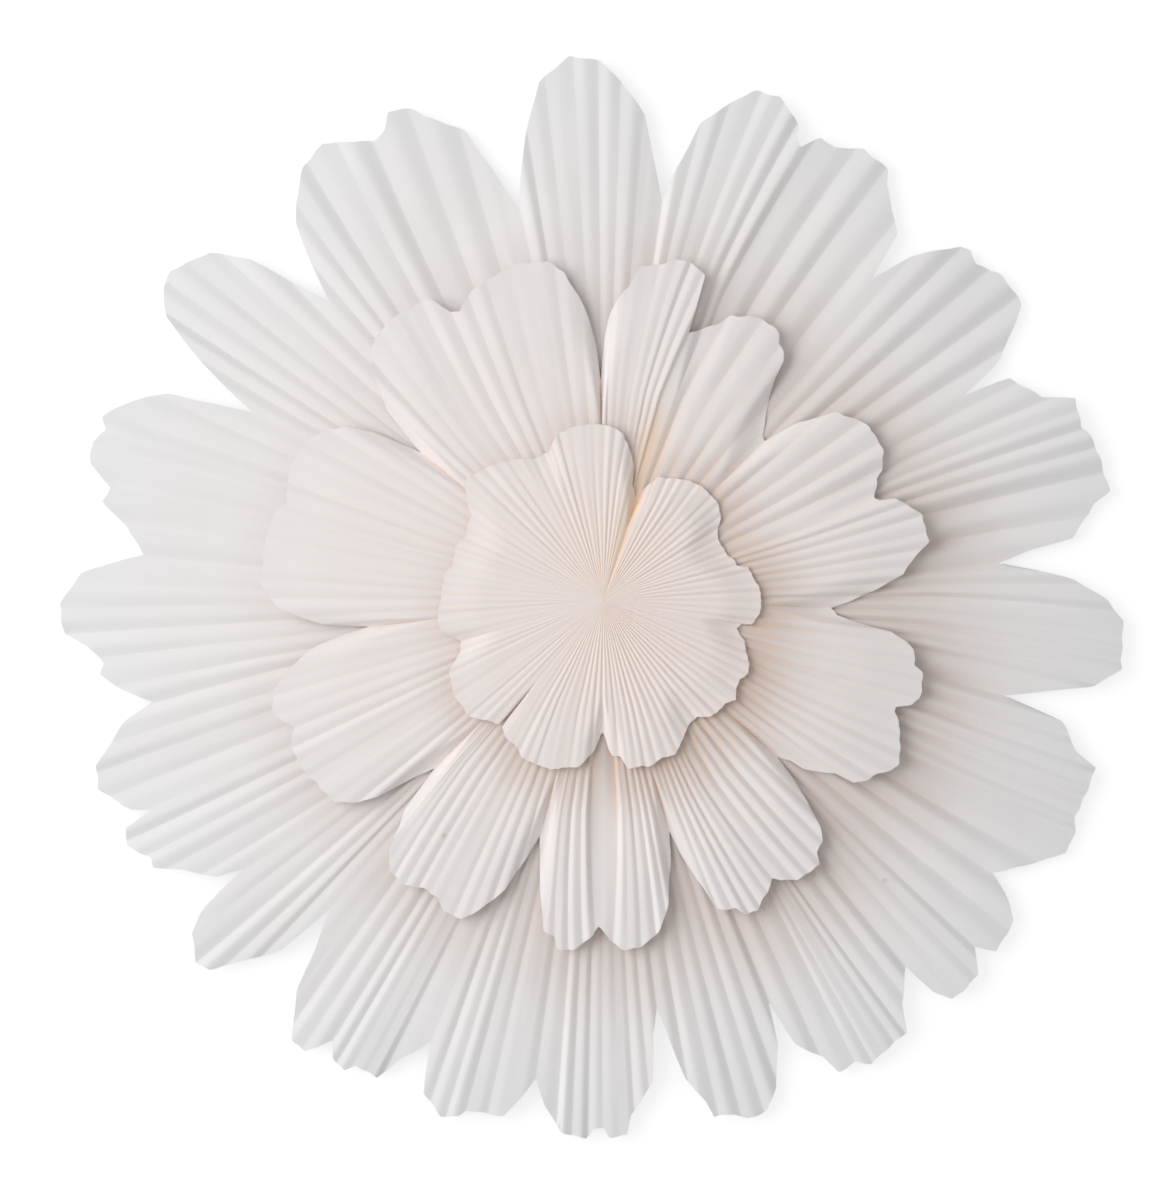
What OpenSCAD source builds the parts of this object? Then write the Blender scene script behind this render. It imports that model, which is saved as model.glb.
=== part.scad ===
// Paper christmas star, lying on its back.
//
// Three tiers of white paper fans are stacked on a common hub. Each tier is a full
// rosette of nine accordion-folded sheets, set edge to edge. A sheet's open edge is cut
// into petals while it is folded, so the cut follows the folds. A round card backs the
// outer tier, and a smaller one lies between each tier and the next.
//
// The origin is the middle of the back card's rear face. +Z points to the viewer.

/* [Paper and card] */
// Thickness of the folded paper
paper_t = 0.12; // [0.08:0.01:0.2]
// Thickness of the card behind the outer tier
back_card_t = 1; // [0.4:0.1:3]
// Thickness of the cards between the tiers
hub_card_t = 0.6; // [0.3:0.1:2]
// Radius of the card behind the outer tier
back_card_r = 60; // [30:1:100]
// Radius of the cards between the tiers
hub_card_r = 28; // [15:1:35]

/* [Outer tier] */
// Radius out to the tallest petal
outer_r = 200; // [170:1:230]
// Depth of a full cut between two petals
outer_cut = 56; // [15:1:70]
// Width of one panel, from fold to fold
outer_panel = 6.5; // [6:0.5:12]
// Radius of the hole that the folds close in on
outer_hole = 8; // [6:0.5:14]

/* [Middle tier] */
// Radius out to the tallest petal
middle_r = 129; // [110:1:150]
// Depth of a full cut between two petals
middle_cut = 44; // [10:1:52]
// Width of one panel, from fold to fold
middle_panel = 5; // [4.5:0.5:10]
// Radius of the hole that the folds close in on
middle_hole = 8; // [6:0.5:14]

/* [Inner tier] */
// Radius out to the tallest petal
inner_r = 67; // [55:1:85]
// Depth of a full cut between two petals
inner_cut = 17; // [4:0.5:22]
// Width of one panel, from fold to fold
inner_panel = 3.5; // [3:0.5:8]
// Radius of the hole that the folds close in on
inner_hole = 2; // [2:0.5:8]

/* [Hand work] */
// How far a fold strays from its even place, as a share of its panel
stray = 0.16; // [0:0.02:0.3]
// How much lower than its full height a slack fold stands, as a share
slack = 0.3; // [0:0.02:0.5]
// How ragged the cut edge is, as a share of the full cut
ragged = 0.02; // [0:0.005:0.05]
// Shape of a petal between two dips: 1 is a plain arch, less gives it fuller shoulders
shoulder = 0.65; // [0.4:0.05:1]

/* [Hidden] */

// Each fan is a list of rows, one for each place where its cut edge dips or its folds
// change pace, counterclockwise. A row gives the angle at the rim, the cut there in
// percent of the full cut, the number of panels up to the next row, how far the petal
// between them bulges in percent of the full cut, and the lean: how many degrees on
// the fold's foot lies. A fan ends where the next fan's first row stands.
OUTER_ROWS = [
    [[-5, 15, 6, 30, 3], [4.5, 97, 1, 0, 1], [7.5, 46, 4, 10, 0], [16, 18, 7, 6, 1],
     [24, 37, 3, 12, 1], [29.5, 85, 1, 0, 0], [32, 45, 6, 17, 0]],
    [[44.5, 26, 3, 6, 0], [50, 83, 1, 0, 0], [52, 42, 6, 20, 1], [64.5, 30, 10, 27, 4],
     [78, 37, 2, 0, 1.5], [81.5, 92, 1, 0, 0], [84, 54, 5, 5, 0]],
    [[90.5, 2, 8, 35, 0], [102, 95, 1, 0, 0], [104.5, 66, 5, 27, 0], [116.5, 20, 4, 6, 1.5],
     [124, 10, 5, 17, 1.5], [132.5, 91, 1, 0, 0], [134.5, 62, 4, 14, 0]],
    [[141, 5, 8, 37, 0], [152, 97, 1, 0, 0], [153.5, 68, 5, 22, 0], [163, 6, 6, 4, -1.5],
     [174.5, 54, 1, 0, 0], [176.5, 23, 7, 22, 0]],
    [[186.5, 25, 4, 9, 0], [193.5, 54, 8, 34, -1.5], [204.5, 30, 10, 30, 0.5],
     [216, 62, 1, 0, 2], [218, 17, 5, 13, 1]],
    [[224, 13, 4, 12, 0.5], [229, 87, 8, 35, -1], [238.5, 17, 8, 9, 0], [245, 17, 2, 0, 1],
     [248.5, 45, 1, 0, 0.5], [250, 13, 5, 8, 0]],
    [[255, 11, 6, 13, 0], [262, 39, 2, 3, 0], [265, 11, 10, 8, -0.5], [273.5, 21, 4, 15, 0],
     [277.5, 86, 6, 21, 0]],
    [[285, 5, 6, 28, 0], [292.5, 72, 4, 17, 0], [298.5, 11, 8, 3, 1], [305, 11, 4, -3, -1],
     [309.5, 45, 1, 0, 0], [311.5, 9, 5, 7, 0]],
    [[317, 23, 4, 20, 0], [325, 44, 4, 8, -0.5], [334, 12, 8, -2, -1.5], [341.3, 16, 4, 12, 0],
     [346, 85, 1, 0, 1], [348, 52, 7, 15, 2]],
];

MIDDLE_ROWS = [
    [[-2, 103, 16, 58, 0], [20.5, 50, 10, 49, -1]],
    [[44.5, 104, 10, 57, 0], [70, 60, 16, 78, 4]],
    [[90.5, 112, 14, 64, 0], [117.5, 22, 4, 24, 2], [126, 0, 8, 24, 3]],
    [[141, 98, 12, 48, 0], [163, 17, 14, 48, 0]],
    [[186.5, 96, 10, 42, 0], [202.5, 15, 16, 46, 0]],
    [[225, 94, 8, 26, 0], [233, 4, 6, -6, -3], [239.5, 10, 12, 38, -1]],
    [[255, 91, 6, 24, 0], [262, 6, 6, 4, -3], [269, 18, 2, 4, -2.5], [271.5, 8, 12, 32, 2.5]],
    [[286, 94, 14, 50, 0], [302, 22, 12, 47, -3.5]],
    [[318, 98, 14, 51, 0], [339.5, 33, 12, 45, -2]],
];

INNER_ROWS = [
    [[-12, 97, 14, 40, 0], [14.5, 97, 8, -6, 0]],
    [[28, 114, 17, 36, 0], [62, 95, 4, 12, -2], [69.5, 125, 1, 0, -3]],
    [[71, 168, 1, 0, 0], [73, 138, 5, 20, 3], [82, 42, 16, 32, 1]],
    [[112, 58, 14, 6, 0], [140, 5, 8, -22, 0]],
    [[156, 66, 22, 22, 0]],
    [[196, 76, 22, 57, 0]],
    [[230.5, 62, 12, 36, 0], [252, 13, 10, 32, -2.5]],
    [[269.5, 108, 10, 38, 0], [284, 26, 12, 22, 2]],
    [[308, 72, 22, 36, 0]],
];

// Heights of the stack, each tier seated on the card below it
outer_z = back_card_t;
middle_card_z = outer_z + outer_panel;
middle_z = middle_card_z + hub_card_t;
inner_card_z = middle_z + middle_panel;
inner_z = inner_card_z + hub_card_t;

// A fold's foot bends into its lean from this share of the radius outwards
LEAN_FROM = 0.6;
// A panel that is pulled flat keeps this share of its width as height
FLATTEST = 0.15;
// Where folds are packed tight, the paper fills at most this share of the height
TIGHTEST = 0.85;
// Steps along each fold, from the hole to the rim
OUTER_STEPS = 3;
MIDDLE_STEPS = 3;
INNER_STEPS = 3;

// The rim of each tier sags by the thickness of the card below it
OUTER_TIER = [
    tier_folds(OUTER_ROWS, outer_r, outer_cut),
    outer_r, outer_panel, outer_hole, outer_z, back_card_t, OUTER_STEPS,
];
MIDDLE_TIER = [
    tier_folds(MIDDLE_ROWS, middle_r, middle_cut),
    middle_r, middle_panel, middle_hole, middle_z, hub_card_t, MIDDLE_STEPS,
];
INNER_TIER = [
    tier_folds(INNER_ROWS, inner_r, inner_cut),
    inner_r, inner_panel, inner_hole, inner_z, hub_card_t, INNER_STEPS,
];

function mix(a, b, t) = a + (b - a) * t;

// What a row holds
function row_angle(row) = row[0];
function row_cut(row) = row[1];
function row_panels(row) = row[2];
function row_bulge(row) = row[3];
function row_lean(row) = row[4];

// What a fold holds: its angle, lean and radius at the rim
function rim_angle(fold) = fold[0];
function rim_lean(fold) = fold[1];
function rim_radius(fold) = fold[2];

// What a tier holds
function folds_of(tier) = tier[0];
function radius_of(tier) = tier[1];
function panel_of(tier) = tier[2];
function hole_of(tier) = tier[3];
function foot_of(tier) = tier[4];
function sag_of(tier) = tier[5];
function steps_of(tier) = tier[6];

// An uneven but fixed number from -1 to 1 for each whole number
function uneven(i, phase) = sin(137.5 * i + phase) * cos(71 * i + 2 * phase);

// All rows of a tier, with the first one again a full turn on
function row_ring(fans) =
    let (rows = [for (fan = fans) each fan], first = rows[0])
    concat(rows, [[row_angle(first) + 360, row_cut(first), 0, 0, row_lean(first)]]);

// The folds from one row up to the next
function row_folds(a, b, number, radius, cut) = [
    for (j = [0 : row_panels(a) - 1])
        let (
            u = j / row_panels(a),
            loose = j == 0 ? 0 : 1,
            step = (row_angle(b) - row_angle(a)) / row_panels(a),
            arch = pow(max(0, sin(180 * u)), shoulder),
            dip = mix(row_cut(a), row_cut(b), u) - row_bulge(a) * arch,
            jag = ragged * uneven(j, 50 * number)
        )
        [
            row_angle(a) + step * (j + loose * stray * uneven(j, 40 * number)),
            mix(row_lean(a), row_lean(b), u),
            radius - cut * (dip / 100 + loose * jag),
        ]
];

// Every fold of a tier, once round
function tier_folds(fans, radius, cut) =
    let (rows = row_ring(fans))
    [for (i = [0 : len(rows) - 2]) each row_folds(rows[i], rows[i + 1], i, radius, cut)];

function panels_in(fan) = [for (row = fan) 1] * [for (row = fan) row_panels(row)];
function first_fold(fans, fan) =
    fan == 0 ? 0 : first_fold(fans, fan - 1) + panels_in(fans[fan - 1]);

// Fold number i, counted on past the last one
function fold_at(tier, i) = folds_of(tier)[i % len(folds_of(tier))];

// Angle of a fold at a radius
function fold_angle(tier, i, r) =
    let (
        turn = floor(i / len(folds_of(tier))),
        fold = fold_at(tier, i + len(folds_of(tier))),
        out = (r / radius_of(tier) - LEAN_FROM) / (1 - LEAN_FROM)
    )
    rim_angle(fold) + 360 * turn + rim_lean(fold) * (1 - max(0, min(1, out)));

// Distance across panel i, between its two folds, at a radius
function panel_span(tier, i, r) =
    2 * r * sin((fold_angle(tier, i + 1, r) - fold_angle(tier, i, r)) / 2);

// Height of panel i at a radius, as its width is fixed and its span is not
function panel_rise(tier, i, r) =
    let (w = panel_of(tier), span = panel_span(tier, i, r))
    sqrt(max(w * w - span * span, pow(FLATTEST * w, 2)));

// Height of the zigzag at a fold
function fold_height(tier, i, r) =
    let (full = (panel_rise(tier, i - 1, r) + panel_rise(tier, i, r)) / 2)
    full * (1 - slack * (0.5 + 0.5 * uneven(i, 20)) * r / radius_of(tier));

// Thickness of the paper at a fold, measured straight down
function fold_thickness(tier, i, r) =
    let (span = (panel_span(tier, i - 1, r) + panel_span(tier, i, r)) / 2)
    min(paper_t * panel_of(tier) / span, TIGHTEST * fold_height(tier, i, r));

// Height of the tier's middle plane at a radius
function middle_plane(tier, r) =
    let (out = (r - hole_of(tier)) / (radius_of(tier) - hole_of(tier)))
    foot_of(tier) + panel_of(tier) / 2 - sag_of(tier) * out * out;

// The point of fold i at step k, below (side 0) or on top (side 1). Even folds are valleys.
function fold_point(tier, i, k, side) =
    let (
        r = mix(hole_of(tier), rim_radius(fold_at(tier, i)), k / steps_of(tier)),
        a = fold_angle(tier, i, r),
        half = fold_height(tier, i, r) / 2,
        thick = fold_thickness(tier, i, r),
        z = middle_plane(tier, r)
            + (i % 2 == 0 ? -half + side * thick : half - (1 - side) * thick)
    )
    [r * cos(a), r * sin(a), z];

// Two triangles that close the quadrilateral a, b, c, d
function quad(a, b, c, d) = [[a, b, c], [a, c, d]];

// One pleated sheet: the folds of fan number fan, from its first to the next fan's first
module pleated_sheet(tier, fans, fan) {
    start = first_fold(fans, fan);
    panels = panels_in(fans[fan]);
    steps = steps_of(tier);
    row = 2 * (steps + 1);
    points = [
        for (i = [0 : panels], k = [0 : steps], side = [0, 1])
            fold_point(tier, start + i, k, side)
    ];
    faces = [
        for (i = [0 : panels - 1], k = [0 : steps - 1])
            let (a = i * row + 2 * k, b = a + row)
            each concat(quad(a + 1, b + 1, b + 3, a + 3), quad(a, a + 2, b + 2, b)),
        for (i = [0 : panels - 1])
            let (a = i * row, b = a + row, c = a + 2 * steps, d = c + row)
            each concat(quad(a, b, b + 1, a + 1), quad(c, c + 1, d + 1, d)),
        for (k = [0 : steps - 1])
            let (a = 2 * k, b = panels * row + 2 * k)
            each concat(quad(a, a + 1, a + 3, a + 2), quad(b, b + 2, b + 3, b + 1)),
    ];
    polyhedron(points = points, faces = faces);
}

module outer_fan(fan) {
    color("#f4efe6") pleated_sheet(OUTER_TIER, OUTER_ROWS, fan);
}

module middle_fan(fan) {
    color("#f8f4ec") pleated_sheet(MIDDLE_TIER, MIDDLE_ROWS, fan);
}

module inner_fan(fan) {
    color("#fbf8f2") pleated_sheet(INNER_TIER, INNER_ROWS, fan);
}

module round_card(radius, thickness, z) {
    color("#eae2d2") translate([0, 0, z]) cylinder(r = radius, h = thickness, $fn = 96);
}

module back_card() {
    round_card(back_card_r, back_card_t, 0);
}

module middle_card() {
    round_card(hub_card_r, hub_card_t, middle_card_z);
}

module inner_card() {
    round_card(hub_card_r, hub_card_t, inner_card_z);
}

back_card();
for (fan = [0 : len(OUTER_ROWS) - 1])
    outer_fan(fan);
middle_card();
for (fan = [0 : len(MIDDLE_ROWS) - 1])
    middle_fan(fan);
inner_card();
for (fan = [0 : len(INNER_ROWS) - 1])
    inner_fan(fan);
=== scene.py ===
"""Paper christmas star: finely pleated paper sheets, round cards, floor, light, camera.

Lengths of the star are in millimetres here, and turn into metres when a mesh is made.
Angles are in degrees, counterclockwise from the right.
"""

import math
from dataclasses import dataclass

import bpy
import numpy as np
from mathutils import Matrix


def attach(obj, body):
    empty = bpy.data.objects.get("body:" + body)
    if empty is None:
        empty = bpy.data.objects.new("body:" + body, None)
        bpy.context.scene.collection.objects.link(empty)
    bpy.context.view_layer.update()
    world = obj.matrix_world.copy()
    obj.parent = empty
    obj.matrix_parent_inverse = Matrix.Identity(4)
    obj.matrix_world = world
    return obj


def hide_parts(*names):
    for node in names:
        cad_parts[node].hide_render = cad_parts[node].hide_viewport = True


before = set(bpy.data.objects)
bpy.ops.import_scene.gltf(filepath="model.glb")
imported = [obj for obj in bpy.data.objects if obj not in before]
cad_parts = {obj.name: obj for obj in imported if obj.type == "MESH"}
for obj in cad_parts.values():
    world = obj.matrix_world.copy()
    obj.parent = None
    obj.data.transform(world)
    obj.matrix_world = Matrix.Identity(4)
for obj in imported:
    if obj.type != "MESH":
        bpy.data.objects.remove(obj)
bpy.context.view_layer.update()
MM = 0.001

# Sizes as in the solids: radius of the tallest petal, depth of a full cut into the rim,
# and width of a panel from fold to fold
OUTER_R = 200
OUTER_CUT = 56
OUTER_PANEL = 6.5
MIDDLE_R = 129
MIDDLE_CUT = 44
MIDDLE_PANEL = 5
INNER_R = 67
INNER_CUT = 17
INNER_PANEL = 3.5
PAPER_T = 0.12
BACK_CARD_T = 1.0
HUB_CARD_T = 0.6
# Radius of the hole in the middle of a tier. The inner tier's is closed up to a point.
HOLE_R = 8
HUB_HOLE_R = 0.05
# Height at which each tier's valleys rest
OUTER_FOOT = BACK_CARD_T
MIDDLE_FOOT = OUTER_FOOT + OUTER_PANEL + HUB_CARD_T
INNER_FOOT = MIDDLE_FOOT + MIDDLE_PANEL + HUB_CARD_T

# Hand work, as in the solids: how far a fold strays from its even place as a share of a
# panel, how much lower a loose fold lies at the rim, from what share of the radius on the
# folds straighten, and a fold's least height as a share of its panel
STRAY = 0.16
SLACK = 0.3
LEAN_FROM = 0.6
FLATTEST = 0.15

# Nine fans to a tier, as in the solids. Each row: angle at the rim, panels up to the next
# row, and lean of the fold.
ANGLE, PANELS, LEAN = range(3)
OUTER_ROWS = [
    [[-5, 6, 3], [4.5, 1, 1], [7.5, 4, 0], [16, 7, 1], [24, 3, 1], [29.5, 1, 0], [32, 6, 0]],
    [[44.5, 3, 0], [50, 1, 0], [52, 6, 1], [64.5, 10, 4], [78, 2, 1.5], [81.5, 1, 0],
     [84, 5, 0]],
    [[90.5, 8, 0], [102, 1, 0], [104.5, 5, 0], [116.5, 4, 1.5], [124, 5, 1.5], [132.5, 1, 0],
     [134.5, 4, 0]],
    [[141, 8, 0], [152, 1, 0], [153.5, 5, 0], [163, 6, -1.5], [174.5, 1, 0], [176.5, 7, 0]],
    [[186.5, 4, 0], [193.5, 8, -1.5], [204.5, 10, 0.5], [216, 1, 2], [218, 5, 1]],
    [[224, 4, 0.5], [229, 8, -1], [238.5, 8, 0], [245, 2, 1], [248.5, 1, 0.5], [250, 5, 0]],
    [[255, 6, 0], [262, 2, 0], [265, 10, -0.5], [273.5, 4, 0], [277.5, 6, 0]],
    [[285, 6, 0], [292.5, 4, 0], [298.5, 8, 1], [305, 4, -1], [309.5, 1, 0], [311.5, 5, 0]],
    [[317, 4, 0], [325, 4, -0.5], [334, 8, -1.5], [341.3, 4, 0], [346, 1, 1], [348, 7, 2]],
]
MIDDLE_ROWS = [
    [[-2, 16, 0], [20.5, 10, -1]],
    [[44.5, 10, 0], [70, 16, 4]],
    [[90.5, 14, 0], [117.5, 4, 2], [126, 8, 3]],
    [[141, 12, 0], [163, 14, 0]],
    [[186.5, 10, 0], [202.5, 16, 0]],
    [[225, 8, 0], [233, 6, -3], [239.5, 12, -1]],
    [[255, 6, 0], [262, 6, -3], [269, 2, -2.5], [271.5, 12, 2.5]],
    [[286, 14, 0], [302, 12, -3.5]],
    [[318, 14, 0], [339.5, 12, -2]],
]
INNER_ROWS = [
    [[-12, 14, 0], [14.5, 8, 0]],
    [[28, 17, 0], [62, 4, -2], [69.5, 1, -3]],
    [[71, 1, 0], [73, 5, 3], [82, 16, 1]],
    [[112, 14, 0], [140, 8, 0]],
    [[156, 22, 0]],
    [[196, 22, 0]],
    [[230.5, 12, 0], [252, 10, -2.5]],
    [[269.5, 10, 0], [284, 12, 2]],
    [[308, 22, 0]],
]

# Corners of each tier's cut edge, finer than the rows: angle, and cut in percent
OUTER_EDGE = [
    (-5, 15), (-2.5, 16), (-0.2, 27), (2, 48), (4.7, 97), (6.5, 74), (7.5, 46), (11, 29), (12, 16),
    (19, 20), (19.7, 23), (23, 21), (24.5, 39), (28.7, 54), (29.5, 85), (31, 54), (35.2, 20),
    (39.5, 19), (42, 28), (43.5, 24), (44.7, 27), (48, 53), (50, 83), (51, 48), (55.2, 28),
    (56.2, 18), (59.7, 15), (62.3, 24), (64.2, 21), (65.5, 33), (66.5, 28), (67, 21), (70.5, 7),
    (73.2, 8), (78, 37), (79, 57), (81.6, 92), (83.5, 65), (85, 38), (87, 24), (90.2, 3), (93.5, 0),
    (97, 14), (99.5, 49), (102.2, 95), (105.5, 50), (106.2, 37), (110, 19), (111, 11), (113.7, 7),
    (114.7, 17), (116.3, 20), (119.5, 12), (121.5, 5), (124.5, 11), (129, 37), (132.5, 92),
    (134, 71), (136, 35), (138.5, 13), (142.7, 0), (144.5, 3), (147, 15), (149.5, 53), (151.8, 97),
    (154, 58), (154.6, 40), (157.5, 20), (160, 6), (161.2, 12), (162.8, 6), (165.2, 9), (167.3, 25),
    (169, 22), (171.5, 42), (174.4, 54), (175.5, 36), (177, 15), (180.5, 0), (183.6, 3), (185, 17),
    (187.3, 27), (188.5, 23), (191.5, 41), (193.3, 54), (194.5, 33), (196, 24), (198.2, 7),
    (200.5, 3), (204, 19), (204.8, 30), (205.5, 10), (207.2, 5), (209.5, 16), (210.6, 14),
    (212.5, 30), (215, 45), (215.9, 63), (217.5, 24), (219, 10), (221.7, 0), (223.3, 3), (224, 13),
    (227.6, 45), (229.1, 88), (231, 57), (232, 32), (234.7, 4), (236.5, 2), (238.4, 17), (239.5, 8),
    (241.2, 5), (242, 12), (244.6, 10), (246, 27), (248.5, 46), (250, 13), (252.5, 2), (254.4, 6),
    (255, 11), (259.1, 12), (262, 40), (263.5, 23), (265.5, 7), (268.2, 4), (269, 10), (270.1, 10),
    (270.7, 4), (272.6, 6), (273.1, 19), (276, 40), (276.6, 70), (277.5, 86), (278.3, 73),
    (279.8, 38), (281.7, 21), (282.1, 10), (284.3, 9), (285.5, 4), (287.8, 5), (289.5, 17),
    (291.5, 44), (292.4, 73), (293.3, 40), (295.6, 24), (296.5, 10), (298.6, 12), (300, 6),
    (305.2, 11), (306.7, 28), (309.6, 45), (310, 22), (311.2, 9), (315, 9), (317, 23), (318.2, 12),
    (322, 14), (324, 30), (325.2, 45), (329.5, 21), (331.5, 11), (334, 11), (335.5, 16), (339, 16),
    (341.2, 15), (342.2, 31), (345, 46), (345.4, 62), (346, 86), (348, 53), (349.5, 31),
    (352.2, 14), (355, 15),
]
MIDDLE_EDGE = [
    (-2, 103), (0, 85), (2, 68), (4, 52), (5, 43), (8, 31), (9.5, 22), (10.2, 18), (15, 18),
    (18, 30), (19.5, 35), (20.3, 48), (21, 52), (24.4, 43), (25, 37), (28, 29), (33, 28), (35, 32),
    (37, 39), (39, 43), (40, 53), (41.5, 68), (42.6, 75), (43.3, 87), (44.5, 104), (46, 100),
    (49, 83), (50, 75), (51.5, 60), (52.5, 43), (53.5, 37), (55, 35), (56, 27), (58, 24), (61, 25),
    (63, 30), (65, 33), (66, 43), (68, 52), (70.2, 60), (71, 40), (71.6, 25), (72.2, 10), (74, 6),
    (76, 2), (78, 3), (80, 10), (83.5, 14), (85, 31), (87, 43), (88.5, 56), (89.5, 73),
    (90.6, 110), (91.5, 80), (92.5, 62), (94.5, 39), (96, 27), (96.7, 18), (99, 8), (104, 4),
    (108, 8), (113, 14), (116, 24), (117.5, 22), (119, 10), (120.5, 2), (128, 0), (131, 4),
    (133, 10), (135, 24), (137, 43), (138.5, 55), (140, 80), (141, 98), (142.5, 75), (144, 55),
    (146, 36), (148.5, 22), (152, 12), (157, 10), (163, 17), (165, 10), (170, 8), (177, 8),
    (181, 20), (183, 38), (185, 60), (186.5, 96), (188, 68), (189, 52), (193, 20), (195, 10),
    (199, 2), (202.5, 15), (205, 6), (209, 6), (213, 10), (217, 14), (219.5, 28), (221, 43),
    (222, 60), (223.5, 81), (225, 94), (226, 75), (227, 52), (228.5, 39), (229.5, 22), (230.5, 14),
    (232, 6), (235, 4), (238, 10), (241, 10), (243, 2), (246, 2), (248, 14), (250, 28),
    (251.5, 39), (252.5, 56), (253.5, 68), (255, 90), (256.5, 75), (257.5, 60), (258.5, 43),
    (259.5, 27), (260, 14), (262, 10), (262.5, 0), (265, 0), (266.5, 6), (268.5, 14), (269.5, 21),
    (271, 10), (273, 2), (276, 2), (277.5, 6), (279.5, 14), (280.5, 22), (282, 35), (283, 52),
    (284, 64), (285, 77), (286, 93), (287, 75), (288.5, 52), (289.5, 39), (290, 27), (290.5, 18),
    (293.5, 14), (294.5, 6), (296.5, 4), (298, 10), (301, 18), (302, 22), (303, 16), (305, 10),
    (309.5, 8), (310.5, 18), (312.5, 22), (314, 31), (315, 45), (316, 60), (317, 75), (318, 98),
    (319.5, 87), (320, 75), (322, 60), (323.5, 52), (324, 35), (326, 27), (328, 22), (329.5, 14),
    (331, 12), (334, 17), (338, 27), (339.5, 33), (340.5, 33), (341.5, 22), (343, 17), (347.5, 20),
    (348.5, 28), (351, 31), (352.5, 39), (354, 52), (354.5, 68), (355.5, 85), (356.5, 98),
    (358, 103),
]
INNER_EDGE = [
    (-12, 99), (-10, 93), (-9.5, 71), (-5, 56), (0, 54), (5, 58), (8, 67), (13, 75), (14.5, 97),
    (17, 99), (20, 110), (25, 114), (28, 114), (31, 108), (35, 86), (38, 78), (40, 71), (50, 71),
    (55, 78), (60, 89), (63, 97), (68, 104), (70, 125), (71.5, 160), (74, 125), (76, 93), (78, 76),
    (80, 60), (82, 45), (83, 35), (85, 26), (90, 17), (95, 15), (100, 17), (105, 24), (108, 40),
    (110, 55), (115, 57), (118, 50), (120, 43), (123, 35), (127, 26), (130, 18), (133, 13),
    (138, 2), (140, 6), (145, 39), (147, 56), (150, 60), (155, 67), (160, 57), (167, 62),
    (170, 50), (180, 45), (187, 35), (190, 40), (193, 54), (196, 76), (200, 67), (203, 45),
    (205, 28), (208, 24), (213, 13), (217, 17), (220, 11), (222, 17), (227, 39), (230, 45),
    (230.8, 93), (231.5, 45), (235, 32), (240, 28), (243, 13), (253, 13), (257, 24), (262, 32),
    (265, 56), (267, 71), (269, 104), (270, 108), (271, 93), (272, 71), (273, 60), (276, 56),
    (278, 28), (283, 28), (285, 22), (290, 32), (295, 28), (298, 43), (301, 56), (305, 71),
    (309, 71), (312, 56), (315, 50), (320, 50), (323, 37), (326, 50), (330, 54), (333, 45),
    (336, 50), (340, 67), (344, 78), (346, 92), (348, 99),
]

# Angles at which values round the star are given
TWELFTHS = (15, 45, 75, 105, 135, 165, 195, 225, 255, 285, 315, 345)

# Fine teeth of the hand-cut edge, as a share of a full cut
TOOTH = 0.008
# Where across a panel the paper is sampled: close together at the folds
ACROSS = (0.0, 0.06, 0.16, 0.32, 0.5, 0.68, 0.84, 0.94)
# Samples along a fold lie a little closer together towards the rim
CLOSER_OUT = 0.9
# Share of a panel that bends at each fold, and how puffed up the ridges are at the hub and
# at the rim
FOLD_BEND = 0.34
HUB_PUFF = 0.75
RIM_PUFF = 0.45
# Most of a fold's height that its packed paper takes up
MOST_PAPER = 0.85
# How unevenly the folds are pressed, from one to the next and along each
PRESS_BY_FOLD = 0.35
PRESS_ALONG = 0.2
# Share of the way out from which the under side thins out, and where it is a single sheet
THIN_FROM = 0.78
THIN_TO = 0.97
# Outer petals stand up a little from this radius on: by how much, and how unevenly
LIFT_FROM = 135
LIFT = 1.2
LIFT_WAVE = 0.5
# A rim counts as a petal's tip up to one share of a full cut, and as a notch from another
TIP_CUT = 0.3
NOTCH_CUT = 0.9
# Edges sharper than this stay crisp
SHARP_ANGLE = 55

# Beside the tier above, the painted shadow and painted warm shade are strongest on this side, away
# from the lamp
SHADE_SIDE = 325
# Painted warm shade in the valleys, stronger towards the hub: how much, between which radii
# that fades, by how many times more it is right at the hub, and between which radii that evens out
VALLEY_WARM_SHADE = 0.28
WARM_SHADE_FADE = (20, 150)
HUB_WARM_SHADE = (1.9, 3.0, 4.6, 3.8, 2.3, 0.9, 1.1, 1.9, 3.0, 3.0, 2.3, 0.6)
HUB_WARM_SHADE_FADE = (8, 50)
# Painted warm shade in one open seam: its angle, its half width, and between which radii it fades
# in and out
SEAM_ANGLE = 73
SEAM_WIDTH = 4.5
SEAM_START = (4, 12)
SEAM_END = (58, 82)

# Colours: the paper at the rim, painted warm shade at the paper's hub, painted shadow beside the
# tier above, and painted warm shade in the valleys and the open seam; then the card at the rim and
# at the hub
RIM_PAPER = (0.905, 0.896, 0.898)
HUB_SHADE_PAPER = (0.97, 0.88, 0.855)
SHADOW_PAPER = (0.64, 0.53, 0.48)
WARM_SHADE_PAPER = (0.95, 0.73, 0.56)
RIM_CARD = (0.88, 0.86, 0.81)
HUB_CARD = (0.88, 0.85, 0.79)
# Two small marks on the paper: place and radius
SPECKS = [(103.5, -103, 1.3), (-58.2, -86.2, 1.2)]
SPECK_COLOR = (0.76, 0.69, 0.64)
# In metres: how far out from the hub its colour reaches, on the star's paper a painted warm shade
HUB_COLOR_REACH = 0.19
# How cloudy the mix of the two colours is
CLOUDINESS = 0.35

# In metres
FLOOR_SIZE = 6
# The floor's own grey takes the shadow, and its glow makes up the rest of the white
FLOOR_GREY = 0.38
FLOOR_GLOW = 0.76
SKY_STRENGTH = 0.475

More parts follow.
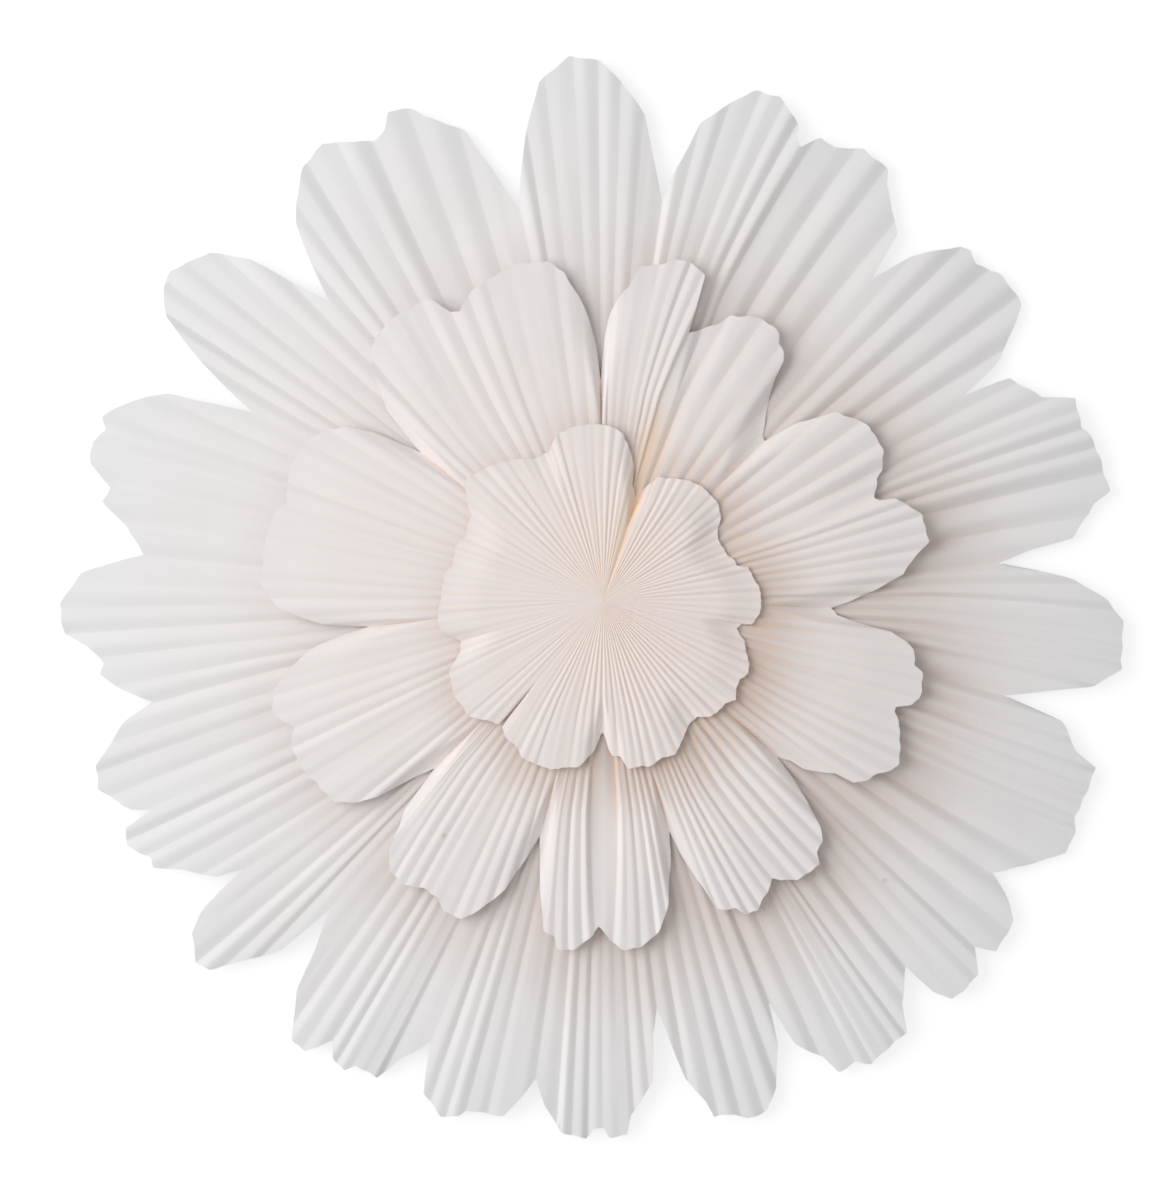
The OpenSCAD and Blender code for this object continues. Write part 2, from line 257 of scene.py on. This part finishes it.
# The photograph is 1200 pixels high, the tallest petal is 545 pixels long, and the hub lies
# 20 pixels right of the middle
IMAGE_H_PX = 1200
TALLEST_PETAL_PX = 545
HUB_RIGHT_PX = 20
PIXEL_MM = OUTER_R / TALLEST_PETAL_PX
# In metres, above the floor: the camera, and the plane whose scale is the photograph's
CAMERA_Z = 1.5
PLANE_Z = 0.008
SENSOR_MM = 36


@dataclass
class Tier:
    """One tier's sizes and looks. Its folds are worked out once round."""

    name: str
    rows: list
    # Corners of the cut edge: angle, and cut in percent
    edge: list
    radius: float
    cut: float
    panel: float
    hole: float
    foot: float
    # How far the rim hangs down below the foot
    sag: float
    # Samples along a fold
    steps: int
    # Depth of the grooves on top, at the hub and at the rim, as shares of a panel's span
    groove: tuple
    # How strongly the folds show round the star, as they were pressed by hand
    strength: tuple
    # How far the rim droops onto the tier below, at a petal's tip and in a notch, and over
    # what distance
    droop: tuple = None
    # Painted shadow beside the tier above: how much browner and how much warmer it makes the paper,
    # and within what distance
    shade_above: tuple = None

    def __post_init__(self):
        ring = [row for fan in self.rows for row in fan]
        first = ring[0]
        ring.append([first[ANGLE] + 360, 0, first[LEAN]])
        self.folds = np.array([
            fold
            for number, (a, b) in enumerate(zip(ring, ring[1:]))
            for fold in row_folds(a, b, number)
        ])
        self.edge = np.array(self.edge)

    def first_fold(self, fan):
        """Number of the fold at which a fan starts."""
        return sum(row[PANELS] for rows in self.rows[:fan] for row in rows)

    def fold(self, i):
        """Angle at the rim and lean of fold i, counted on past a full turn."""
        turns, index = np.divmod(i, len(self.folds))
        return self.folds[index, 0] + 360 * turns, self.folds[index, 1]

    def rim(self, angle):
        """Radius of the cut edge at an angle."""
        start = self.edge[0, 0]
        cut = np.interp(start + (angle - start) % 360, self.edge[:, 0], self.edge[:, 1])
        tooth = TOOTH * sin_deg(97 * angle) * sin_deg(41 * angle + 30)
        return self.radius - self.cut * (cut / 100 + tooth)


def mix(a, b, t):
    return a + (b - a) * t


def sin_deg(a):
    return np.sin(np.radians(a))


def cos_deg(a):
    return np.cos(np.radians(a))


def smoothstep(a, b, x):
    """0 up to a, 1 from b on, and smooth between them."""
    t = np.clip((x - a) / (b - a), 0, 1)
    return t * t * (3 - 2 * t)


def uneven(i, phase):
    """An uneven but fixed number from -1 to 1 for each whole number."""
    return sin_deg(137.5 * i + phase) * cos_deg(71 * i + 2 * phase)


def row_folds(a, b, number):
    """Angle and lean of the folds from one row up to the next, as the solids have them."""
    step = (b[ANGLE] - a[ANGLE]) / a[PANELS]
    folds = []
    for j in range(a[PANELS]):
        stray = STRAY * uneven(j, 40 * number) if j > 0 else 0
        folds.append([a[ANGLE] + step * (j + stray), mix(a[LEAN], b[LEAN], j / a[PANELS])])
    return folds


def fold_angle(tier, i, r):
    """Angle of fold i at a radius. A fold leans near the hub and straightens to the rim."""
    angle, lean = tier.fold(i)
    out = np.clip((r / tier.radius - LEAN_FROM) / (1 - LEAN_FROM), 0, 1)
    return angle + lean * (1 - out)


def panel_span(tier, i, r):
    """Distance from fold i to the next one, seen from above."""
    return 2 * r * sin_deg((fold_angle(tier, i + 1, r) - fold_angle(tier, i, r)) / 2)


def panel_rise(tier, i, r):
    """Height that is left to panel i, which keeps its width, after its span."""
    w = tier.panel
    return np.sqrt(np.maximum(w * w - panel_span(tier, i, r) ** 2, (FLATTEST * w) ** 2))


def fold_height(tier, i, r):
    """Height of fold i from valley to ridge. Loose folds lie lower towards the rim."""
    full = (panel_rise(tier, i - 1, r) + panel_rise(tier, i, r)) / 2
    loose = 0.5 + 0.5 * uneven(i % len(tier.folds), 20)
    return full * (1 - SLACK * loose * r / tier.radius)


def fold_levels(tier, i, r):
    """Fold i's height, its groove's depth on top, and its paper measured straight down."""
    height = fold_height(tier, i, r)
    span = (panel_span(tier, i - 1, r) + panel_span(tier, i, r)) / 2
    paper = np.minimum(PAPER_T * tier.panel / span, MOST_PAPER * height)
    number = i % len(tier.folds)
    pressed = 1 + PRESS_BY_FOLD * uneven(number, 70) + PRESS_ALONG * sin_deg(5 * r + 77 * number)
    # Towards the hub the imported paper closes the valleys
    steep = mix(tier.groove[0], tier.groove[1], (r / tier.radius) ** 0.5)
    steep = steep * np.interp(fold_angle(tier, i, r), TWELFTHS, tier.strength, period=360)
    return height, np.minimum(height - paper, steep * pressed * span), paper


def rounded(v, bend):
    """Height from 0 to 1, straight in the middle and rounded at both ends."""
    low = v * v / (2 * bend)
    high = 1 - bend - (1 - v) ** 2 / (2 * bend)
    straight = v - bend / 2
    return np.where(v < bend, low, np.where(v > 1 - bend, high, straight)) / (1 - bend)


def pleat(v, puff):
    """Height from valley to ridge: a crisp fold, or puffed up into a broad round ridge."""
    return mix(rounded(v, FOLD_BEND), sin_deg(90 * v), puff)


def lifted(tier, angle, r):
    """How far a sheet stands up (outer petals) or droops (upper tiers) towards its rim."""
    if tier.droop is None:
        wave = sin_deg(7 * angle + 40) + 0.8 * sin_deg(11 * angle + 200) + 0.7 * sin_deg(17 * angle)
        return (LIFT + LIFT_WAVE * wave) * smoothstep(LIFT_FROM, tier.radius, r)
    tip, notch, reach = tier.droop
    rim = tier.rim(angle)
    amount = mix(tip, notch, smoothstep(TIP_CUT, NOTCH_CUT, (tier.radius - rim) / tier.cut))
    return -amount * (1 - smoothstep(0, reach, rim - r))


def beside_rim(above, x, y, reach):
    """How close a point is to the rim of the tier above, from 0 to 1."""
    angle = np.arange(0, 360, 0.5)
    rim = above.rim(angle)
    gap = np.full(x.shape, np.inf)
    for rim_x, rim_y in zip(rim * cos_deg(angle), rim * sin_deg(angle)):
        gap = np.minimum(gap, (x - rim_x) ** 2 + (y - rim_y) ** 2)
    return np.exp(-gap / reach ** 2)


def painted_shade_tints(tier, above, x, y, deep):
    """Painted warm shade in the valleys and the open seam, and painted shadow beside a rim above.
    """
    angle = np.degrees(np.arctan2(y, x)) % 360
    r = np.hypot(x, y)
    around = np.interp(angle, TWELFTHS, HUB_WARM_SHADE, period=360)
    # Painted warm shade in the valleys, stronger towards the hub
    painted_warm_shade = deep * (1 - smoothstep(*WARM_SHADE_FADE, r)) * VALLEY_WARM_SHADE
    painted_warm_shade = painted_warm_shade * mix(around, 1, smoothstep(*HUB_WARM_SHADE_FADE, r))
    # Painted shadow and painted warm shade beside the tier above, strongest away from the lamp
    painted_shadow = np.zeros(painted_warm_shade.shape)
    if above is not None:
        far_side = 0.5 + 0.5 * cos_deg(angle - SHADE_SIDE)
        shadow_strength, warm_shade_strength, reach = tier.shade_above
        beside = beside_rim(above, x, y, reach * mix(0.5, 1, far_side))
        painted_shadow = shadow_strength * mix(0.1, 1, far_side) * beside * mix(0.7, 1, deep)
        painted_warm_shade = painted_warm_shade + warm_shade_strength * far_side * beside * mix(0.4, 1, deep)
    # Painted warm shade in the open seam
    seam = np.exp(-((angle - SEAM_ANGLE) / SEAM_WIDTH) ** 2)
    seam = seam * smoothstep(*SEAM_START, r) * (1 - smoothstep(*SEAM_END, r))
    return np.clip(painted_warm_shade + seam * mix(0.6, 1, deep), 0, 1), np.clip(painted_shadow, 0, 1)


def sheet_surfaces(tier, above, fan):
    """A pleated sheet's top, under side and painted shade, as grids across the folds and along
    them.
    """
    panels = sum(row[PANELS] for row in tier.rows[fan])
    s = np.array([i + u for i in range(panels) for u in ACROSS] + [panels])
    i = np.minimum(np.floor(s).astype(int), panels - 1)
    u = (s - i)[:, None]
    i = (i + tier.first_fold(fan))[:, None]
    rim = tier.rim(mix(tier.fold(i)[0], tier.fold(i + 1)[0], u))
    along = np.linspace(0, 1, tier.steps + 1)[None, :] ** CLOSER_OUT
    r = mix(tier.hole, rim, along)
    a0, a1 = fold_angle(tier, i, r), fold_angle(tier, i + 1, r)
    x = mix(r * cos_deg(a0), r * cos_deg(a1), u)
    y = mix(r * sin_deg(a0), r * sin_deg(a1), u)

    reach = (r - tier.hole) / (tier.radius - tier.hole)
    middle = tier.foot + tier.panel / 2 - tier.sag * reach ** 2 + lifted(tier, mix(a0, a1, u), r)
    # Even folds are valleys
    is_valley = i % 2 == 0
    levels = list(zip(fold_levels(tier, i, r), fold_levels(tier, i + 1, r)))
    valley_h, depth, valley_paper = [np.where(is_valley, first, second) for first, second in levels]
    ridge_h, _, ridge_paper = [np.where(is_valley, second, first) for first, second in levels]
    rise = pleat(np.where(is_valley, u, 1 - u), mix(HUB_PUFF, RIM_PUFF, r / tier.radius))
    top_ridge = middle + ridge_h / 2
    low_valley = middle - valley_h / 2
    top_valley = np.maximum(middle + valley_h / 2 - depth, low_valley + valley_paper)
    top = mix(top_valley, top_ridge, rise)
    # The under side is as deep as the folds, and thins out to a single sheet at the rim
    low = np.minimum(mix(low_valley, top_ridge - ridge_paper, rise), top - PAPER_T)
    low = mix(low, top - PAPER_T, smoothstep(THIN_FROM, THIN_TO, along))
    painted_warm_shade, painted_shadow = painted_shade_tints(tier, above, x, y, 1 - rise)
    return np.stack([x, y, top], -1), np.stack([x, y, low], -1), painted_warm_shade, painted_shadow


def closed_sheet(name, top, low, painted_warm_shade, painted_shadow):
    """A closed mesh between two grids of points, with the painted shade as attributes."""
    across, along = top.shape[:2]
    verts = np.concatenate([top.reshape(-1, 3), low.reshape(-1, 3)]) * MM
    index = np.arange(across * along).reshape(across, along)
    off = across * along
    a, b = index[:-1, :-1], index[1:, :-1]
    c, d = index[1:, 1:], index[:-1, 1:]
    upper = np.stack([a, d, c, b], -1).reshape(-1, 4)
    lower = np.stack([a, b, c, d], -1).reshape(-1, 4) + off
    rims = []
    for line, flip in ((index[:, 0], False), (index[:, -1], True),
                       (index[0, :], True), (index[-1, :], False)):
        p, q = (line[1:], line[:-1]) if flip else (line[:-1], line[1:])
        rims.append(np.stack([p, q, q + off, p + off], -1))
    faces = np.concatenate([upper, lower] + rims)
    mesh = bpy.data.meshes.new(name)
    mesh.from_pydata(verts.tolist(), [], faces.tolist())
    mesh.update()
    mesh.polygons.foreach_set("use_smooth", np.ones(len(mesh.polygons), bool))
    mesh.set_sharp_from_angle(angle=math.radians(SHARP_ANGLE))
    for shade_name, amount in (("painted_warm_shade", painted_warm_shade), ("painted_shadow", painted_shadow)):
        stored = mesh.attributes.new(shade_name, "FLOAT", "POINT")
        stored.data.foreach_set("value", np.tile(amount.reshape(-1), 2).astype(np.float32))
    obj = bpy.data.objects.new(name, mesh)
    bpy.context.scene.collection.objects.link(obj)
    return obj


def node(tree, kind, **inputs):
    """A shader node with its inputs set."""
    made = tree.nodes.new(kind)
    for key, value in inputs.items():
        made.inputs[key].default_value = value
    return made


def math_node(tree, operation, a, b):
    """A math node with a socket or a number at each input."""
    made = tree.nodes.new("ShaderNodeMath")
    made.operation = operation
    for socket, value in zip(made.inputs, (a, b)):
        if isinstance(value, (int, float)):
            socket.default_value = value
        else:
            tree.links.new(value, socket)
    return made.outputs[0]


def mix_colors(tree, factor, a, b):
    """A mix of two colours, each a socket or a plain colour."""
    made = tree.nodes.new("ShaderNodeMix")
    made.data_type = "RGBA"
    tree.links.new(factor, made.inputs["Factor"])
    for socket, value in ((made.inputs["A"], a), (made.inputs["B"], b)):
        if isinstance(value, tuple):
            socket.default_value = (*value, 1)
        else:
            tree.links.new(value, socket)
    return made.outputs["Result"]


def distance_from(tree, x, y, at_x, at_y):
    """Distance from a place, seen from above, in metres."""
    off_x = math_node(tree, "SUBTRACT", x, at_x)
    off_y = math_node(tree, "SUBTRACT", y, at_y)
    square_x = math_node(tree, "MULTIPLY", off_x, off_x)
    square_y = math_node(tree, "MULTIPLY", off_y, off_y)
    return math_node(tree, "POWER", math_node(tree, "ADD", square_x, square_y), 0.5)


def nearness(tree, distance, none, full):
    """0 at one distance and beyond, and 1 at a nearer one."""
    made = tree.nodes.new("ShaderNodeMapRange")
    made.inputs["From Min"].default_value = none
    made.inputs["From Max"].default_value = full
    tree.links.new(distance, made.inputs["Value"])
    return made.outputs["Result"]


def paper_material(name, rim, hub, shade_tints):
    """Matt uncoated paper: a colour at the rim, one at the hub (painted warm shade on the star's
    paper), and painted shade by attribute.
    """
    mat = bpy.data.materials.new(name)
    mat.use_nodes = True
    tree = mat.node_tree
    link = tree.links.new
    shader = tree.nodes["Principled BSDF"]
    shader.inputs["Roughness"].default_value = 0.85
    shader.inputs["Specular IOR Level"].default_value = 0.2
    place = tree.nodes.new("ShaderNodeTexCoord").outputs["Object"]
    apart = tree.nodes.new("ShaderNodeSeparateXYZ")
    link(place, apart.inputs[0])
    x, y = apart.outputs["X"], apart.outputs["Y"]

    near_hub = nearness(tree, distance_from(tree, x, y, 0, 0), HUB_COLOR_REACH, 0)
    clouds = node(tree, "ShaderNodeTexNoise", Scale=22, Detail=4, Roughness=0.6)
    link(place, clouds.inputs["Vector"])
    cloudy = math_node(tree, "SUBTRACT", clouds.outputs["Fac"], 0.5)
    drift = math_node(tree, "MULTIPLY", cloudy, CLOUDINESS)
    # Towards the hub the colour turns to the hub colour, on the star's paper a painted warm shade
    color = mix_colors(tree, math_node(tree, "ADD", near_hub, drift), rim, hub)
    # The attributes paint shadow and warm shade onto the colour
    for shade_name, shade_color in shade_tints:
        amount = tree.nodes.new("ShaderNodeAttribute")
        amount.attribute_name = shade_name
        color = mix_colors(tree, amount.outputs["Fac"], color, shade_color)
    for speck_x, speck_y, size in SPECKS:
        gap = distance_from(tree, x, y, speck_x * MM, speck_y * MM)
        speck = nearness(tree, gap, size * MM, 0.3 * size * MM)
        color = mix_colors(tree, speck, color, SPECK_COLOR)
    link(color, shader.inputs["Base Color"])

    fibres = node(tree, "ShaderNodeTexNoise", Scale=900, Detail=3, Roughness=0.7)
    link(place, fibres.inputs["Vector"])
    bump = node(tree, "ShaderNodeBump", Strength=0.1, Distance=0.0002)
    link(fibres.outputs["Fac"], bump.inputs["Height"])
    link(bump.outputs["Normal"], shader.inputs["Normal"])
    return mat


def white_floor():
    """A white floor that still takes the star's shadow."""
    bpy.ops.mesh.primitive_plane_add(size=FLOOR_SIZE, location=(0, 0, 0))
    floor = bpy.context.object
    floor.name = "floor"
    mat = bpy.data.materials.new("floor_white")
    mat.use_nodes = True
    tree = mat.node_tree
    shader = tree.nodes["Principled BSDF"]
    shader.inputs["Base Color"].default_value = (FLOOR_GREY, FLOOR_GREY, FLOOR_GREY, 1)
    shader.inputs["Roughness"].default_value = 0.9
    shader.inputs["Specular IOR Level"].default_value = 0.0
    glow = node(tree, "ShaderNodeEmission", Color=(1, 1, 1, 1))
    path = tree.nodes.new("ShaderNodeLightPath").outputs
    mirrored = math_node(tree, "MAXIMUM", path["Is Glossy Ray"], path["Is Transmission Ray"])
    seen = math_node(tree, "MAXIMUM", path["Is Camera Ray"], mirrored)
    tree.links.new(math_node(tree, "MULTIPLY", seen, FLOOR_GLOW), glow.inputs["Strength"])
    add = tree.nodes.new("ShaderNodeAddShader")
    out = tree.nodes["Material Output"]
    tree.links.new(shader.outputs[0], add.inputs[0])
    tree.links.new(glow.outputs[0], add.inputs[1])
    tree.links.new(add.outputs[0], out.inputs["Surface"])
    floor.data.materials.append(mat)


def lamp(name, azimuth, elevation, distance, size, power):
    """A round lamp that faces the star, with distance and size in metres."""
    data = bpy.data.lights.new(name, "AREA")
    data.shape = "DISK"
    data.size = size
    data.energy = power
    obj = bpy.data.objects.new(name, data)
    a, e = math.radians(azimuth), math.radians(elevation)
    obj.location = (distance * math.cos(e) * math.cos(a),
                    distance * math.cos(e) * math.sin(a),
                    distance * math.sin(e))
    obj.rotation_mode = "QUATERNION"
    obj.rotation_quaternion = obj.location.to_track_quat("Z", "Y")
    bpy.context.scene.collection.objects.link(obj)


def sky(strength):
    """An even white sky."""
    world = bpy.data.worlds.new("soft_room")
    world.use_nodes = True
    back = world.node_tree.nodes["Background"]
    back.inputs["Color"].default_value = (1, 1, 1, 1)
    back.inputs["Strength"].default_value = strength
    bpy.context.scene.world = world


def camera_above():
    """A camera that looks straight down, framed as the photograph is."""
    data = bpy.data.cameras.new("camera")
    data.sensor_width = SENSOR_MM
    view_height = IMAGE_H_PX * PIXEL_MM * MM
    data.lens = SENSOR_MM * (CAMERA_Z - PLANE_Z) / view_height
    camera = bpy.data.objects.new("camera", data)
    camera.location = (-HUB_RIGHT_PX * PIXEL_MM * MM, 0, CAMERA_Z)
    bpy.context.scene.collection.objects.link(camera)
    bpy.context.scene.camera = camera


TIERS = [
    Tier(
        name="outer", rows=OUTER_ROWS, edge=OUTER_EDGE,
        radius=OUTER_R, cut=OUTER_CUT, panel=OUTER_PANEL, hole=HOLE_R,
        foot=OUTER_FOOT, sag=BACK_CARD_T,
        steps=44, groove=(0.35, 0.22),
        strength=(1.25, 0.75, 0.75, 0.45, 0.65, 1.1, 0.6, 0.55, 0.6, 1.05, 1.0, 1.9),
        shade_above=(0.6, 0.12, 22),
    ),
    Tier(
        name="middle", rows=MIDDLE_ROWS, edge=MIDDLE_EDGE,
        radius=MIDDLE_R, cut=MIDDLE_CUT, panel=MIDDLE_PANEL, hole=HOLE_R,
        foot=MIDDLE_FOOT, sag=HUB_CARD_T,
        steps=34, groove=(0.5, 0.18),
        strength=(1.1, 0.65, 0.65, 0.3, 0.5, 0.9, 0.35, 0.55, 0.75, 1.5, 1.7, 1.3),
        droop=(0.6, 4.2, 26), shade_above=(1.0, 0.4, 14),
    ),
    Tier(
        name="inner", rows=INNER_ROWS, edge=INNER_EDGE,
        radius=INNER_R, cut=INNER_CUT, panel=INNER_PANEL, hole=HUB_HOLE_R,
        foot=INNER_FOOT, sag=HUB_CARD_T,
        steps=26, groove=(1.1, 0.11),
        strength=(0.7, 0.65, 0.55, 0.5, 0.5, 0.6, 0.25, 0.3, 0.5, 0.95, 1.15, 1.5),
        droop=(0.5, 2.8, 15),
    ),
]
# The paper carries painted shadow beside the tiers above, and painted warm shade in the valleys,
# the open seam and at the hub
PAPER = paper_material("star_paper", RIM_PAPER, HUB_SHADE_PAPER,
                       [("painted_shadow", SHADOW_PAPER), ("painted_warm_shade", WARM_SHADE_PAPER)])
CARD = paper_material("star_card", RIM_CARD, HUB_CARD, [])

for tier, above in zip(TIERS, TIERS[1:] + [None]):
    for fan in range(len(tier.rows)):
        piece = closed_sheet(f"{tier.name}_sheet_{fan + 1}", *sheet_surfaces(tier, above, fan))
        piece.data.materials.append(PAPER)
        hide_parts(f"{tier.name}_fan_{fan + 1}")
        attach(piece, "root")

for name in ("back_card", "middle_card", "inner_card"):
    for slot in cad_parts[name].material_slots:
        slot.material = CARD

white_floor()
sky(SKY_STRENGTH)
lamp("key", azimuth=166, elevation=38, distance=1.4, size=1.4, power=12.6)
camera_above()
bpy.context.scene.view_settings.view_transform = "Standard"
